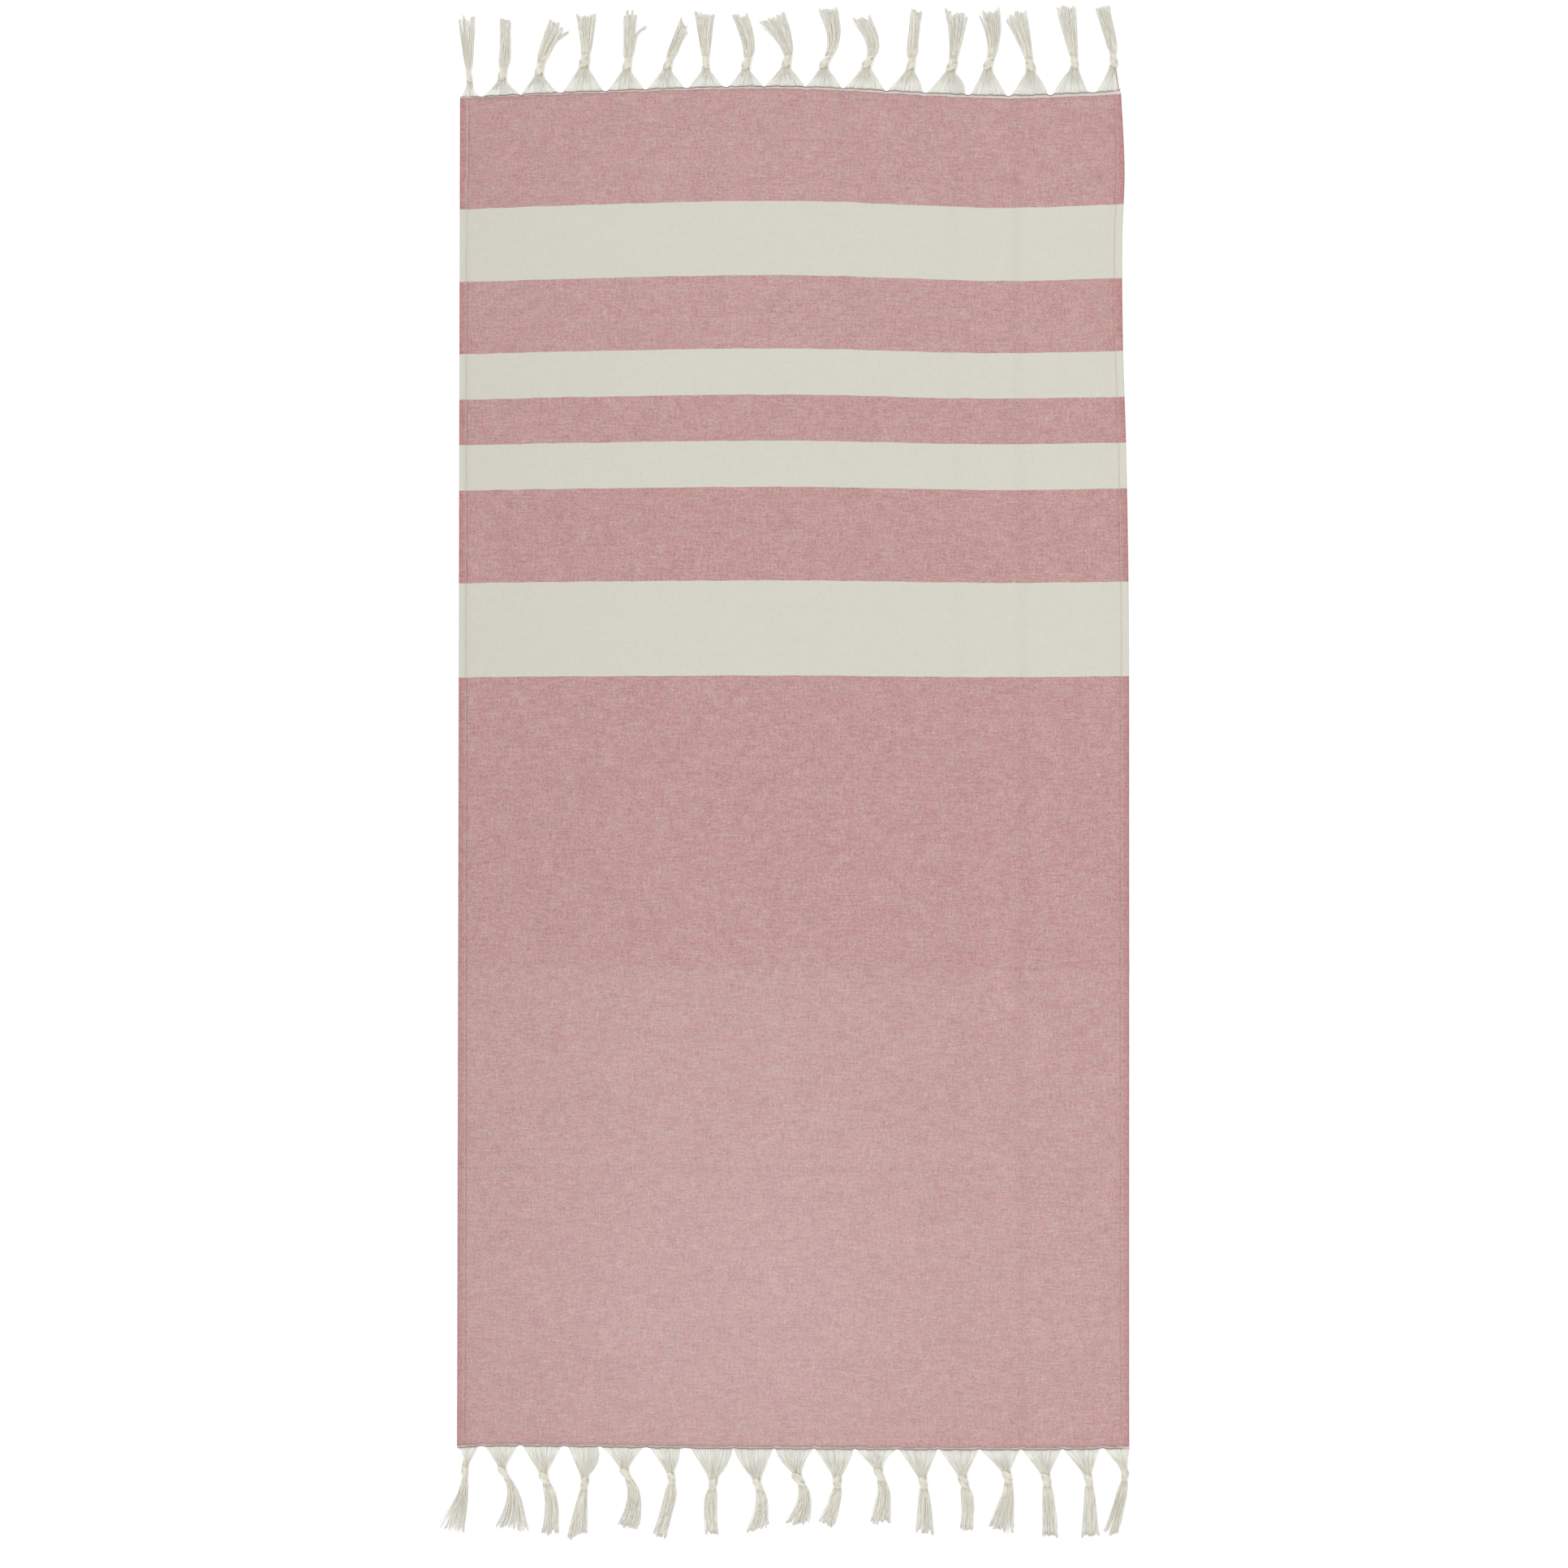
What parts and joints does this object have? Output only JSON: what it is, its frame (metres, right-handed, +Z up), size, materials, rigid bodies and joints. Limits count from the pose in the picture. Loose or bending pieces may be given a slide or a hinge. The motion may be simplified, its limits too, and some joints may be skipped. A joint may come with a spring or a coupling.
{
  "type": "hammam towel",
  "caption": "Flat-woven cotton hammam towel laid out flat, dusty pink with cream cross stripes near one end and knotted cream fringes.",
  "frame": {"origin": "middle of the cloth's flat underside, on the surface it lies on", "axes": "+Y along the cloth towards the striped end, +Z up out of the surface, +X across the cloth to the right as seen from above"},
  "size_m": [0.9185, 2.0398, 0.0085],
  "materials": {
    "pink_cotton": "matte plain weave of dusty red weft on pale warp, with cream cross stripes near one end",
    "cream_yarn": "loose undyed cotton yarn, matte",
    "stitch_thread": "cream sewing thread along the hems",
    "end_thread": "dull dark red thread where the fringe leaves the cloth"
  },
  "bodies": {
    "root": {"towel_cloth": "pink_cotton", "fringe_top": "cream_yarn", "fringe_bottom": "cream_yarn"}
  },
  "joints": []
}
